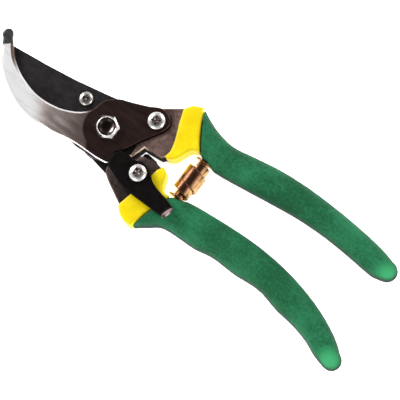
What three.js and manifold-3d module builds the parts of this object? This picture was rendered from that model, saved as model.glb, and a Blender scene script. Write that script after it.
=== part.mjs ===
// Bypass pruner, closed and locked.
//
// Frame: millimetres. The origin is on the pivot axis, where the pivot bolt's end meets the surface that
// the tool lies on. +X runs from the pivot towards the handle ends, +Y towards the upper handle, and +Z
// towards the counter-blade's side. The lower handle opens by turning clockwise seen from +Z.

import * as THREE from 'three';
import { mergeVertices } from 'three/addons/utils/BufferGeometryUtils.js';
import Module from 'manifold-3d';

const wasm = await Module();
wasm.setup();

// ---- Driving dimensions ----------------------------------------------------------------------------

const GAP = 0.3; // between pieces that touch

// Layers, from the surface the tool lies on to the head of the lock screw.
const LAYER = {
  boltEnd: 0,
  nut: [0.5, 3.7],
  bladeNut: [1.9, 4.8],
  washer: [3.8, 4.8],
  tang: [5.0, 7.8],
  cuttingBlade: [7.9, 10.5],
  counterBlade: [10.7, 14.1],
  boltHead: [14.3, 18.3],
  frame: [2.2, 11.8],
  bladeSeat: 10.4,
  bar: [4.4, 9.6],
  collar: [1.1, 12.9],
  grip: [0, 14],
  spacer: [12.0, 13.3],
  waveWasher: [13.5, 14.2],
  lever: [14.4, 16.4],
  lockHead: 16.7,
};
const MID = 7; // mid-plane of the handles, where the spring's axis lies

const PIVOT = { shank: 4.0, bore: 4.08, acrossFlats: 10, dish: 3.9, dishDepth: 1.6, clear: 14.2 };
const BLADE = { heelRadius: 14.2, bevel: 4, land: 0.5 };
const COUNTER_SCREW = { x: 15.4, y: 15.4, shank: 2.0, bore: 2.15, head: 4.0, height: 2.3 };
const BLADE_SCREW = { x: -16.4, y: 5.0, shank: 1.5, bore: 1.6, head: 3.2, height: 1.9 };
const LOCK = { x: 23.7, y: -8.2, shank: 2.0, bore: 2.08, head: 4.0, height: 2.6, spacer: 2.9, washer: 3.9 };
const LEVER_BORE = 2.15;
const LEVER_TAB = { x: 42.6, y: -13.9, angle: -14, width: 6.2, height: 6.2 };
const FRAME_RADIUS = 14.65; // the upper frame keeps clear of the tang's round end
const LOWER_RADIUS = 16.5; // the lower frame's thick part keeps clear of the counter-blade's heel
const FRAME_EDGE = 0.6;
const BLADE_EDGE = 0.4;
const LEVER_EDGE = 0.35;
const COLLAR_EDGE = 1.2;
const SHANK_PLAY = 0.2;
const HEAD_PLAY = 0.1; // between a screw's head and what it clamps
const TANG_EYE = 4.8;
const BAR_WIDTH = 9;
const GRIP = { rings: 30, squareness: 0.8, endFullness: 1.2 };

const SPRING = {
  x: 42.4,
  centre: 4.2,
  radius: 5.0,
  turnsEachWay: 1.3,
  rise: 4.1,
  pitch: 1.15,
  strip: 0.7,
  height: 8,
};
const SEAT = {
  flange: 4.3,
  flangeHeight: 0.8,
  peg: 2.4,
  pegHeight: 4,
  rivet: 1.4,
  rivetLength: 7,
  rivetBore: 1.5,
};
const SEAT_FACE = { upper: 14.4, lower: -6.0 }; // where each flange meets its handle
const PIVOT_WASHER_RADIUS = 7.6;
const NUT = { pivot: 13, blade: 5.5 }; // across flats
const SCREW_END = { frame: 4.4, blade: 1.4 }; // how low the screws reach
const THROUGH = [-5, 30]; // bores that run right through
const BLIND = [4, 20]; // screw holes that stop inside a frame

// ---- Colours ---------------------------------------------------------------------------------------

const steelBright = { color: 0xd9d8d6, roughness: 0.25, metalness: 1 };
const steelDark = { color: 0x3a302d, roughness: 0.35, metalness: 1 };
const steelBlack = { color: 0x26242a, roughness: 0.4, metalness: 0.6 };
const steelPolished = { color: 0xc9c7c6, roughness: 0.22, metalness: 1 };
const zincYellow = { color: 0xc99b62, roughness: 0.28, metalness: 1 };
const plasticYellow = { color: 0xf5e110, roughness: 0.45, metalness: 0 };
const plasticGreen = { color: 0x2c7a4e, roughness: 0.6, metalness: 0 };

// ---- Geometry helpers ------------------------------------------------------------------------------

const vec2 = ([x, y]) => new THREE.Vector2(x, y);

// A closed outline: a start point, then ['line', ...points] or ['curve', ...points] pieces.
function outline(start, ...pieces) {
  const shape = new THREE.Shape();
  shape.moveTo(...start);
  for (const [kind, ...points] of pieces) {
    if (kind === 'line') points.forEach((point) => shape.lineTo(...point));
    else shape.splineThru(points.map(vec2));
  }
  return shape;
}

// Points of a circular arc about the pivot, angles in degrees.
function pivotArc(radius, from, to, count) {
  return Array.from({ length: count }, (_, i) => {
    const angle = THREE.MathUtils.degToRad(from + ((to - from) * i) / (count - 1));
    return [radius * Math.cos(angle), radius * Math.sin(angle)];
  });
}

// A flat bar of even width along a curve through a few points.
function barOutline(points, width) {
  const curve = new THREE.SplineCurve(points.map(vec2));
  const steps = 24;
  const side = (sign) => Array.from({ length: steps + 1 }, (_, i) => {
    const at = curve.getPoint(i / steps);
    const along = curve.getTangent(i / steps);
    return new THREE.Vector2(at.x - sign * along.y * width / 2, at.y + sign * along.x * width / 2);
  });
  return new THREE.Shape([...side(-1), ...side(1).reverse()]);
}

// The same outline moved outwards by a distance.
function grown(shape, distance) {
  const points = shape.getPoints(4).filter((p, i, all) => p.distanceTo(all[(i + 1) % all.length]) > 1e-3);
  const turn = THREE.ShapeUtils.area(points) > 0 ? 1 : -1;
  return new THREE.Shape(points.map((point, i) => {
    const before = points[(i + points.length - 1) % points.length];
    const after = points[(i + 1) % points.length];
    const along = after.clone().sub(before).normalize();
    return new THREE.Vector2(point.x + turn * along.y * distance, point.y - turn * along.x * distance);
  }));
}

// A plate between two heights, with edges rounded or chamfered by `edge`.
function plate(shape, [low, high], edge = 0, segments = 1) {
  const geometry = new THREE.ExtrudeGeometry(shape, {
    depth: high - low - 2 * edge,
    curveSegments: 4,
    bevelEnabled: edge > 0,
    bevelThickness: edge,
    bevelSize: edge,
    bevelOffset: -edge,
    bevelSegments: segments,
  });
  return geometry.translate(0, 0, low + edge);
}

// A round piece about a vertical axis, from [radius, height] profile points that start and end on it.
function turned(profile, sides = 48) {
  return new THREE.LatheGeometry(profile.map(vec2), sides).rotateX(Math.PI / 2);
}

function disc(radius, [low, high], sides = 48) {
  return turned([[0, low], [radius, low], [radius, high], [0, high]], sides);
}

// The faces between neighbouring rings of points; the last ring meets the first if `looped`.
function ringFaces(rings, looped) {
  const size = rings[0].length;
  const count = rings.length * size;
  const index = [];
  for (let start = 0; start < count - (looped ? 0 : size); start += size) {
    for (let i = 0; i < size; i += 1) {
      const a = start + i;
      const b = start + ((i + 1) % size);
      const [aNext, bNext] = [(a + size) % count, (b + size) % count];
      index.push(a, b, bNext, a, bNext, aNext);
    }
  }
  return index;
}

// A closed skin over rings of points, the ends closed by a fan.
function skin(rings) {
  const size = rings[0].length;
  const points = rings.flat();
  const index = ringFaces(rings, false);
  for (const [start, first] of [[0, true], [points.length - size, false]]) {
    const end = points.slice(start, start + size);
    points.push(end.reduce((sum, p) => sum.add(p), new THREE.Vector3()).divideScalar(size));
    for (let i = 0; i < size; i += 1) {
      const pair = [start + i, start + ((i + 1) % size)];
      index.push(...(first ? pair.reverse() : pair), points.length - 1);
    }
  }
  return new THREE.BufferGeometry().setFromPoints(points).setIndex(index);
}

// A closed skin over rings that run round to the first one again.
function closedSkin(rings) {
  return new THREE.BufferGeometry().setFromPoints(rings.flat()).setIndex(ringFaces(rings, true));
}

// The same closed surface with its faces turned to point out.
function outward(geometry) {
  const corners = geometry.index ? geometry.toNonIndexed() : geometry;
  const position = corners.attributes.position;
  const corner = (i) => new THREE.Vector3().fromBufferAttribute(position, i);
  let volume = 0;
  for (let i = 0; i < position.count; i += 3) {
    volume += corner(i).dot(corner(i + 1).cross(corner(i + 2))) / 6;
  }
  if (volume < 0) geometry.index.array.reverse();
  return geometry;
}

function solid(geometry) {
  const bare = geometry.clone();
  bare.deleteAttribute('normal');
  bare.deleteAttribute('uv');
  const merged = mergeVertices(bare, 1e-4);
  return new wasm.Manifold(new wasm.Mesh({
    numProp: 3,
    vertProperties: merged.attributes.position.array,
    triVerts: new Uint32Array(merged.index.array),
  }));
}

function geometryOf(manifold) {
  const { vertProperties, triVerts } = manifold.getMesh();
  const geometry = new THREE.BufferGeometry();
  geometry.setAttribute('position', new THREE.BufferAttribute(vertProperties, 3));
  geometry.setIndex(new THREE.BufferAttribute(triVerts, 1));
  geometry.computeVertexNormals();
  return geometry;
}

const joined = (...geometries) => geometries.map(solid).reduce((sum, piece) => sum.add(piece));

function cut(body, ...tools) {
  return geometryOf(tools.reduce((left, tool) => left.subtract(solid(tool)), joined(...[body].flat())));
}

function piece(name, geometry, look) {
  const mesh = new THREE.Mesh(geometry, new THREE.MeshStandardMaterial(look));
  mesh.name = name;
  return mesh;
}

const hole = ({ x = 0, y = 0, bore }) => disc(bore, THROUGH).translate(x, y, 0);

// ---- Blades ----------------------------------------------------------------------------------------

const counterBladeShape = outline(
  [-57.2, 5.1],
  ['curve', [-54.8, 2.5], [-52.4, 0.2], [-48.2, -2.5], [-43.6, -4.6], [-37.0, -6.5], [-30.9, -6.9],
    [-25.7, -6.3], [-20.7, -4.9], [-14.8, -1.8], [-10.8, 2.2], [-9.0, 8.4], [-4.1, 13.3], [1.2, 15.5],
    [8.2, 18.5], [13.6, 21.3], [18.6, 20.6], [21.2, 17.3], [20.4, 13.4]],
  ['line', [15.1, 4.3], [11.4, -3.6], [9.1, -6.5], [9.9, -12.0], [8.4, -12.9]],
  ['curve', [3.5, -13.5], [-1.5, -13.6], [-7.0, -13.8], [-12.8, -14.5], [-17.4, -15.6], [-22.2, -16.3],
    [-28.0, -16.6], [-34.0, -16.3], [-39.1, -15.1], [-44.8, -12.6], [-49.7, -9.9], [-54.5, -6.2],
    [-58.3, -2.4], [-60.6, 1.2], [-62.3, 4.4], [-63.3, 6.6], [-62.9, 8.2], [-61.7, 8.9], [-60.4, 8.1],
    [-58.5, 6.4]],
);

function counterBlade() {
  const body = plate(counterBladeShape, LAYER.counterBlade, BLADE_EDGE);
  return cut(body, hole(PIVOT), hole(COUNTER_SCREW));
}

// Only the far face is ground to the edge, so the bevel narrows the blade towards its low side.
function cuttingBlade() {
  const steps = 24;
  const edge = new THREE.SplineCurve([
    [-57.4, 4.7], [-50.5, -3.0], [-42.0, -8.2], [-32.0, -11.4], [-22.0, -12.9], [-13.0, -13.6],
  ].map(vec2));
  const back = [[-7.4, -14.3], ...pivotArc(BLADE.heelRadius, -100, 105, 28), [-10.2, 12.2], [-17.0, 10.8],
    [-25.1, 9.1], [-40.0, 6.8]].map(vec2);
  const ring = (bevel, height) => {
    const ground = edge.getPoints(steps).map((point, i) => {
      const along = edge.getTangent(i / steps);
      const width = bevel * Math.sin((Math.PI * i) / steps) ** 0.5;
      return new THREE.Vector2(point.x - along.y * width, point.y + along.x * width);
    });
    return [...ground, ...back].map((point) => new THREE.Vector3(point.x, point.y, height));
  };
  const [low, high] = LAYER.cuttingBlade;
  const body = skin([ring(BLADE.bevel, low), ring(0, high - BLADE.land), ring(0, high)]);
  return cut(body, hole(PIVOT), hole(BLADE_SCREW));
}

// ---- Frames, collars and grips ---------------------------------------------------------------------

const upperFrameShape = outline(
  [14.6, -3.6],
  ['line', [16.0, -3.8], [18.0, 3.0], [19.6, 2.9], [26.8, 3.8], [29.0, 6.6], [30.2, 9.6], [28.8, 14.5],
    [27.0, 20.0], [25.4, 27.0], [20.9, 27.5], [13.4, 21.9], [9.5, 18.2],
    ...pivotArc(FRAME_RADIUS, 60, -5, 12)],
);

const upperBar = [[24, 18], [35, 22], [48, 21], [60, 22.3], [75, 24.3], [90, 25.8], [105, 25.9], [128, 24.3]];

const lowerFrameShape = outline(
  [10.8, -16.0],
  ['curve', [14.4, -18.3], [18.7, -20.6], [24.2, -23.4], [27.2, -24.6]],
  ['line', [29.6, -22.0], [31.8, -6.0], [31.0, 0.0], [24.8, 1.2], [20.9, 0.1], [18.5, -1.1], [17.8, -5.4],
    ...pivotArc(LOWER_RADIUS, -20, -54, 8)],
);

const lowerBar = [[26, -12], [35, -15.4], [45, -12.8], [60, -11], [75, -9.3], [92, -8.9], [107, -10.8],
  [119, -13], [129, -16.2]];

function upperFrame() {
  const body = plate(upperFrameShape, LAYER.frame, FRAME_EDGE);
  const bar = plate(barOutline(upperBar, BAR_WIDTH), LAYER.bar);
  const bladePocket = plate(grown(counterBladeShape, GAP), [LAYER.bladeSeat, BLIND[1]]);
  const screwHole = disc(COUNTER_SCREW.bore, BLIND).translate(COUNTER_SCREW.x, COUNTER_SCREW.y, 0);
  return cut([body, bar], bladePocket, screwHole, seatPart('upper', rivetHole));
}

function lowerFrame() {
  const body = plate(lowerFrameShape, LAYER.frame, FRAME_EDGE);
  const bar = plate(barOutline(lowerBar, BAR_WIDTH), LAYER.bar);
  const round = disc(PIVOT.clear, LAYER.tang, 64);
  const arm = plate(barOutline([[0, 0], [BLADE_SCREW.x / 2, BLADE_SCREW.y / 2],
    [BLADE_SCREW.x, BLADE_SCREW.y]], 2 * TANG_EYE), LAYER.tang);
  const eye = disc(TANG_EYE, LAYER.tang).translate(BLADE_SCREW.x, BLADE_SCREW.y, 0);
  const neck = plate(outline([1, -14.1], ['line', [11.4, -16.0], [20, -18], [24, -8], [25.4, 1.7], [20.4, 2.2],
    [19.0, 1.4], [18.8, -3.6], [17.8, -6.6], [12, -7.5], [0, 0]]), LAYER.tang);
  const screwHole = disc(LOCK.bore, BLIND).translate(LOCK.x, LOCK.y, 0);
  return cut([body, bar, round, arm, eye, neck],
    hole(PIVOT), hole(BLADE_SCREW), screwHole, seatPart('lower', rivetHole));
}

const upperCollarShape = outline(
  [20.7, 27.2],
  ['line', [22.8, 21.4]],
  ['curve', [25.2, 16.1], [26.9, 11.8], [27.7, 8.2]],
  ['line', [27.0, 4.6], [29.3, 5.2]],
  ['curve', [31.4, 6.4], [32.8, 8.5], [34.0, 11.8], [35.4, 14.7]],
  ['line', [38.5, 16.1], [27.6, 33.0], [23.5, 31.1]],
);

const lowerCollarShape = outline(
  [24.0, -23.9],
  ['line', [26.6, -26.6], [30.0, -28.2], [34.2, -28.5], [40.0, -7.2], [37.4, -7.8]],
  ['curve', [35.1, -5.7], [34.2, -3.0], [32.9, -0.1]],
  ['line', [29.8, 1.4], [28.2, -1.2], [26.8, -10.0]],
);

function collar(shape, frameShape, bar) {
  const [low, high] = LAYER.frame;
  const socket = plate(grown(frameShape, GAP), [low - GAP, high + GAP]);
  return cut(plate(shape, LAYER.collar, COLLAR_EDGE, 2), socket, barRoom(bar));
}

const barRoom = (bar) => plate(barOutline(bar, BAR_WIDTH + 2 * GAP), [LAYER.bar[0] - GAP, LAYER.bar[1] + GAP]);

// Each station is a pair of points, on the outer and on the inner edge, from the collar to the end.
const upperGripStations = [
  [[28.0, 33.1], [39.3, 15.5]], [[37.1, 29.2], [42.6, 13.8]], [[48.1, 27.3], [49.1, 13.2]],
  [[59.3, 29.3], [62.0, 14.8]], [[72.3, 31.6], [75.1, 16.7]], [[88.0, 32.7], [90.2, 18.7]],
  [[106.0, 32.4], [105.0, 19.3]], [[118.9, 31.5], [117.9, 18.8]], [[128.0, 30.4], [127.1, 18.1]],
  [[133.1, 29.4], [132.2, 17.9]], [[135.6, 28.7], [136.6, 18.9]],
];

const lowerGripStations = [
  [[34.6, -28.4], [40.4, -6.9]], [[39.9, -24.1], [44.2, -5.1]], [[45.4, -20.2], [50.0, -3.8]],
  [[55.3, -19.4], [57.0, -2.9]], [[63.0, -19.1], [65.0, -2.1]], [[71.2, -17.4], [73.0, -1.5]],
  [[83.7, -17.6], [84.0, -1.1]], [[96.0, -16.6], [97.0, -1.8]], [[107.8, -19.1], [109.6, -3.8]],
  [[117.9, -20.2], [121.5, -7.0]], [[126.6, -22.3], [131.4, -10.9]], [[132.8, -24.9], [138.3, -14.7]],
  [[139.6, -26.7], [142.0, -17.6]],
];

// A sleeve with rounded-square sections across its stations and a round closed end.
function grip(stations, bar, seat) {
  const outer = new THREE.SplineCurve(stations.map(([point]) => vec2(point)));
  const inner = new THREE.SplineCurve(stations.map(([, point]) => vec2(point)));
  const [low, high] = LAYER.grip;
  const sides = 24;
  const rings = [];
  const ring = (middle, across, halfWidth, halfHeight) => {
    rings.push(Array.from({ length: sides }, (_, i) => {
      const angle = (2 * Math.PI * i) / sides;
      const squared = (value) => Math.sign(value) * Math.abs(value) ** GRIP.squareness;
      const side = squared(Math.cos(angle)) * halfWidth;
      const height = (low + high) / 2 + squared(Math.sin(angle)) * halfHeight;
      return new THREE.Vector3(middle.x + across.x * side, middle.y + across.y * side, height);
    }));
  };
  for (let i = 0; i <= GRIP.rings; i += 1) {
    const from = inner.getPoint(i / GRIP.rings);
    const to = outer.getPoint(i / GRIP.rings);
    const across = to.clone().sub(from).normalize();
    const halfWidth = to.distanceTo(from) / 2;
    const halfHeight = Math.min((high - low) / 2, halfWidth * GRIP.endFullness);
    ring(from.clone().lerp(to, 0.5), across, halfWidth, halfHeight);
  }
  const endInner = inner.getPoint(1);
  const endOuter = outer.getPoint(1);
  const across = endOuter.clone().sub(endInner).normalize();
  const halfWidth = endOuter.distanceTo(endInner) / 2;
  const ahead = new THREE.Vector2(Math.abs(across.y), -across.x * Math.sign(across.y));
  for (const angle of [30, 60, 80].map(THREE.MathUtils.degToRad)) {
    const middle = endInner.clone().lerp(endOuter, 0.5).addScaledVector(ahead, halfWidth * Math.sin(angle));
    ring(middle, across, halfWidth * Math.cos(angle), halfWidth * GRIP.endFullness * Math.cos(angle));
  }
  return cut(outward(skin(rings)), barRoom(bar), seatPart(seat, seatPocket), seatPart(seat, rivetRoom));
}

// ---- Spring and its seats --------------------------------------------------------------------------

// A strip wound on its flat, widest at the middle turn, so that the turns telescope into it.
function voluteSpring() {
  const stepsPerTurn = 28;
  const steps = Math.round(2 * SPRING.turnsEachWay * stepsPerTurn);
  const rings = Array.from({ length: steps + 1 }, (_, i) => {
    const turn = SPRING.turnsEachWay * ((2 * i) / steps - 1);
    const radius = SPRING.radius - SPRING.pitch * Math.abs(turn);
    const along = SPRING.centre + SPRING.rise * turn;
    const angle = 2 * Math.PI * turn;
    return [[-1, -1], [1, -1], [1, 1], [-1, 1]].map(([side, end]) => {
      const r = radius + (side * SPRING.strip) / 2;
      return new THREE.Vector3(
        SPRING.x + r * Math.cos(angle), along + (end * SPRING.height) / 2, MID + r * Math.sin(angle));
    });
  });
  return outward(skin(rings));
}

// Places a turned profile, [radius, distance] from the seat's face towards the spring, on a handle.
function seatPart(handle, profile) {
  const towards = handle === 'upper' ? -1 : 1;
  const geometry = outward(turned(profile, 32));
  geometry.rotateX(-towards * Math.PI / 2);
  return geometry.translate(SPRING.x, SEAT_FACE[handle], MID);
}

const springSeat = [[0, -SEAT.rivetLength], [SEAT.rivet, -SEAT.rivetLength], [SEAT.rivet, 0], [SEAT.flange, 0],
  [SEAT.flange, SEAT.flangeHeight], [SEAT.peg, SEAT.flangeHeight], [SEAT.peg, SEAT.pegHeight - 0.8],
  [SEAT.peg - 0.8, SEAT.pegHeight], [0, SEAT.pegHeight]];
const seatPocket = [[0, -GAP], [SEAT.flange + GAP, -GAP], [SEAT.flange + GAP, 9], [0, 9]];
const rivetRoom = [[0, -9], [SEAT.rivet + GAP, -9], [SEAT.rivet + GAP, 1], [0, 1]];
const rivetHole = [[0, -9], [SEAT.rivetBore, -9], [SEAT.rivetBore, 1], [0, 1]];

// ---- Fasteners -------------------------------------------------------------------------------------

// A hexagonal prism with its corners turned down by a cone at the top and the bottom.
function hexagon(acrossFlats, [low, high], chamferTop, chamferBottom) {
  const corner = acrossFlats / Math.sqrt(3);
  const round = (chamfer) => (chamfer ? acrossFlats / 2 : corner);
  const drop = 0.35 * (corner - acrossFlats / 2) + 0.2;
  const cone = turned([[0, low], [round(chamferBottom), low], [corner + 0.01, low + drop],
    [corner + 0.01, high - drop], [round(chamferTop), high], [0, high]]);
  const prism = new THREE.CylinderGeometry(corner, corner, high - low, 6).rotateX(Math.PI / 2);
  return solid(cone).intersect(solid(prism.translate(0, 0, (low + high) / 2)));
}

function pivotBolt() {
  const [base, top] = LAYER.boltHead;
  const shank = turned([[0, LAYER.boltEnd], [PIVOT.shank - 0.6, LAYER.boltEnd], [PIVOT.shank, 0.6],
    [PIVOT.shank, base + 0.1], [0, base + 0.1]]);
  const dish = turned([[0, top - PIVOT.dishDepth], [PIVOT.dish - 1.2, top - PIVOT.dishDepth],
    [PIVOT.dish, top], [PIVOT.dish, top + 1], [0, top + 1]]);
  const head = hexagon(PIVOT.acrossFlats, [base, top], true, false).subtract(solid(dish));
  return geometryOf(head.add(solid(shank)));
}

function nut(acrossFlats, layer, bore) {
  return geometryOf(hexagon(acrossFlats, layer, true, true).subtract(solid(disc(bore, THROUGH))));
}

function ring(outer, bore, layer) {
  return cut(disc(outer, layer), disc(bore, THROUGH));
}

// A pan head screw, its head's underside at `base` and its shank down to `end`, with a cross recess.
function panScrew({ shank, head, height }, base, end) {
  const top = base + height;
  const body = turned([[0, end], [shank - 0.4, end], [shank, end + 0.4], [shank, base], [head, base],
    [head, base + 0.4 * height], [0.88 * head, base + 0.75 * height], [0.6 * head, top], [0, top]]);
  const slot = new THREE.BoxGeometry(head, 0.22 * head, height).translate(0, 0, top);
  return cut(body, slot, slot.clone().rotateZ(Math.PI / 2));
}

// A thin washer pressed into waves: three crests and three troughs.
function waveWasher(outer, bore, [low, high]) {
  const sides = 48;
  const strip = 0.35;
  const wave = (high - low - strip) / 2;
  const rings = Array.from({ length: sides }, (_, i) => {
    const angle = (2 * Math.PI * i) / sides;
    const middle = (low + high) / 2 + wave * Math.cos(3 * angle);
    return [[bore, -1], [outer, -1], [outer, 1], [bore, 1]].map(([radius, side]) => new THREE.Vector3(
      radius * Math.cos(angle), radius * Math.sin(angle), middle + (side * strip) / 2));
  });
  return outward(closedSkin(rings));
}

// ---- Lock lever ------------------------------------------------------------------------------------

const leverShape = outline(
  [9.5, -7.2],
  ['curve', [9.7, -10.2], [10.9, -13.2], [14.0, -14.6], [19.0, -16.2], [25.3, -17.1], [34.0, -17.2],
    [43.0, -17.1]],
  ['line', [44.6, -10.9]],
  ['curve', [39.9, -9.6], [34.9, -8.6], [30.7, -7.0], [27.6, -4.6], [22.8, -3.0], [18.6, -4.2], [14.8, -4.0],
    [11.2, -4.6]],
);

function lockLever() {
  const [low, high] = LAYER.lever;
  const thick = high - low;
  const tabProfile = outline([-1, 0], ['line', [0.6, 0]],
    ['curve', [2.4, 0.8], [3.4, 2.6]],
    ['line', [4.4, LEVER_TAB.height - 0.8], [3.8, LEVER_TAB.height], [2.8, LEVER_TAB.height - 0.3], [1.6, 3.6]],
    ['curve', [0.9, 2.4], [-1, thick]]);
  const tab = plate(tabProfile, [-LEVER_TAB.width / 2, LEVER_TAB.width / 2]).rotateX(Math.PI / 2);
  tab.rotateZ(THREE.MathUtils.degToRad(LEVER_TAB.angle)).translate(LEVER_TAB.x, LEVER_TAB.y, low);
  return cut([plate(leverShape, LAYER.lever, LEVER_EDGE), tab], hole({ ...LOCK, bore: LEVER_BORE }));
}

// ---- The tool --------------------------------------------------------------------------------------

const at = ({ x, y }, geometry) => geometry.translate(x, y, 0);
const screwBase = (layer) => layer[1] + HEAD_PLAY;

const pruner = new THREE.Group();
pruner.name = 'bypass_pruner';
pruner.add(
  piece('counter_blade', counterBlade(), steelPolished),
  piece('cutting_blade', cuttingBlade(), steelBlack),
  piece('upper_frame', upperFrame(), steelDark),
  piece('lower_frame', lowerFrame(), steelDark),
  piece('upper_collar', collar(upperCollarShape, upperFrameShape, upperBar), plasticYellow),
  piece('lower_collar', collar(lowerCollarShape, lowerFrameShape, lowerBar), plasticYellow),
  piece('upper_grip', grip(upperGripStations, upperBar, 'upper'), plasticGreen),
  piece('lower_grip', grip(lowerGripStations, lowerBar, 'lower'), plasticGreen),
  piece('pivot_bolt', pivotBolt(), steelBright),
  piece('pivot_washer', ring(PIVOT_WASHER_RADIUS, PIVOT.shank + SHANK_PLAY, LAYER.washer), steelBright),
  piece('pivot_nut', nut(NUT.pivot, LAYER.nut, PIVOT.bore), steelBright),
  piece('counter_blade_screw', at(COUNTER_SCREW,
    panScrew(COUNTER_SCREW, screwBase(LAYER.counterBlade), SCREW_END.frame)), steelBright),
  piece('blade_screw', at(BLADE_SCREW,
    panScrew(BLADE_SCREW, screwBase(LAYER.cuttingBlade), SCREW_END.blade)), steelBright),
  piece('blade_nut', at(BLADE_SCREW, nut(NUT.blade, LAYER.bladeNut, BLADE_SCREW.bore)), steelBright),
  piece('lock_lever', lockLever(), steelBlack),
  piece('lock_screw', at(LOCK, panScrew(LOCK, LAYER.lockHead, SCREW_END.frame)), steelBright),
  piece('lock_spacer', at(LOCK, ring(LOCK.spacer, LOCK.shank + SHANK_PLAY, LAYER.spacer)), steelDark),
  piece('lock_wave_washer', at(LOCK,
    waveWasher(LOCK.washer, LOCK.shank + SHANK_PLAY, LAYER.waveWasher)), steelBright),
  piece('volute_spring', voluteSpring(), zincYellow),
  piece('upper_spring_seat', seatPart('upper', springSeat), zincYellow),
  piece('lower_spring_seat', seatPart('lower', springSeat), zincYellow),
);

export default pruner;
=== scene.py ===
"""Bypass pruner: fine shapes, finishes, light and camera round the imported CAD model.

Lengths are in millimetres until MM turns them into metres. Light and camera distances are in metres.
"""

import math

import bmesh
import bpy
from mathutils import Matrix, Vector, noise


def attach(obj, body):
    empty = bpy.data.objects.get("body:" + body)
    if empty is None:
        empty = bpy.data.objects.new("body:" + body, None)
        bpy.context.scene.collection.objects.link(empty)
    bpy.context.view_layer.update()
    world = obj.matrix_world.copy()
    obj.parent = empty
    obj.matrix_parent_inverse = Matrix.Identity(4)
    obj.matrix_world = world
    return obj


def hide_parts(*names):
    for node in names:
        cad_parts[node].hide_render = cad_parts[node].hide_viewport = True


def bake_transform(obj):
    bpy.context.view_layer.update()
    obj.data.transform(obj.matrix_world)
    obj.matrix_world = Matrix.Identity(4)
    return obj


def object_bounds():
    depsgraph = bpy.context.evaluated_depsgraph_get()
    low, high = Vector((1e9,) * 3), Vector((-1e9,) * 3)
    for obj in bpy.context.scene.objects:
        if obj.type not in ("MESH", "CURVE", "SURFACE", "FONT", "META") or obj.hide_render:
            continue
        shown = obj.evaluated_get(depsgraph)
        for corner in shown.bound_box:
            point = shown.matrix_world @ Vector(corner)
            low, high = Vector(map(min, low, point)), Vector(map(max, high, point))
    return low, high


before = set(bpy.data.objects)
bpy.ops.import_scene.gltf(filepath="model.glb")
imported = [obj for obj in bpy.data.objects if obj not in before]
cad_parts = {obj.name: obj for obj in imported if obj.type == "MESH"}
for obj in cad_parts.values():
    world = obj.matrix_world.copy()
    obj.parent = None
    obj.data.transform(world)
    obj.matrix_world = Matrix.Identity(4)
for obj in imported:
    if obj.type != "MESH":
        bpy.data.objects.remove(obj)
cad_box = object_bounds()

MM = 0.001
AXIS_Z = Vector((0, 0, 1))
IMAGE_RIGHT = Vector((0.8, 0.6, 0))  # the picture's right and down, in the plane that the tool lies on
IMAGE_DOWN = Vector((0.6, -0.8, 0))
EDGE_ANGLE = 32  # degrees between two faces from which their edge is rounded

# Heights and places that the CAD has too
MID = 7.0  # mid-plane of the handles
CUTTING_LOW = 7.9
COUNTER_LOW, COUNTER_HIGH = 10.7, 14.1
LEVER_LOW, LEVER_HIGH = 14.4, 16.4
BOLT_BASE, BOLT_TOP, ACROSS_FLATS = 14.3, 18.3, 10
PIVOT = (0, 0)
COUNTER_SCREW = (15.4, 15.4)
BLADE_SCREW = (-16.4, 5.0)
LOCK = (23.7, -8.2)
LOOSE_BORE, PIVOT_BORE = 2.15, 4.08
SPRING = {"x": 42.4, "centre": 4.2, "radius": 5.0, "turns": 1.3, "rise": 4.1, "pitch": 1.15, "strip": 0.7,
          "height": 8.0}


# ---- Materials -------------------------------------------------------------------------------------

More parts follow.
